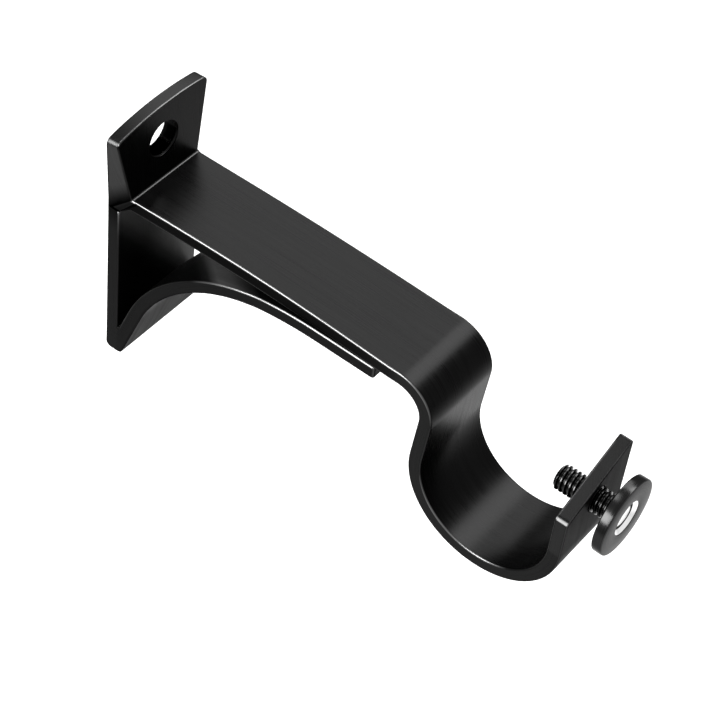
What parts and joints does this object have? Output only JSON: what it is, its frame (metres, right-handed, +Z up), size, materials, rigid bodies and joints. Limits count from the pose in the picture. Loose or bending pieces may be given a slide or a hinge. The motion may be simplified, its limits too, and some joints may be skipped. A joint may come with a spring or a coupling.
{
  "type": "curtain pole bracket",
  "caption": "Black bent-strip curtain pole bracket with a wall tab, a braced arm, an open cup for the pole and a clamp screw with a disc head.",
  "frame": {"origin": "on the wall face, in the middle plane, level with the top of the arm", "axes": "+X out from the wall, Y along the pole, +Z up"},
  "size_m": [0.1188, 0.0266, 0.0614],
  "materials": {
    "black_steel": "satin",
    "screw_steel": "satin"
  },
  "bodies": {
    "bracket": {"wall_tab": "black_steel", "arm": "black_steel", "pole_hook": "black_steel", "wall_plate_and_brace": "black_steel"},
    "clamp": {"clamp_screw": "screw_steel", "clamp_disc": "black_steel"}
  },
  "joints": [
    {"name": "clamp_screw_travel", "type": "slide", "parent": "bracket", "child": "clamp", "axis": [1, 0, 0], "range_m": [-0.0042, 0.0055]}
  ]
}
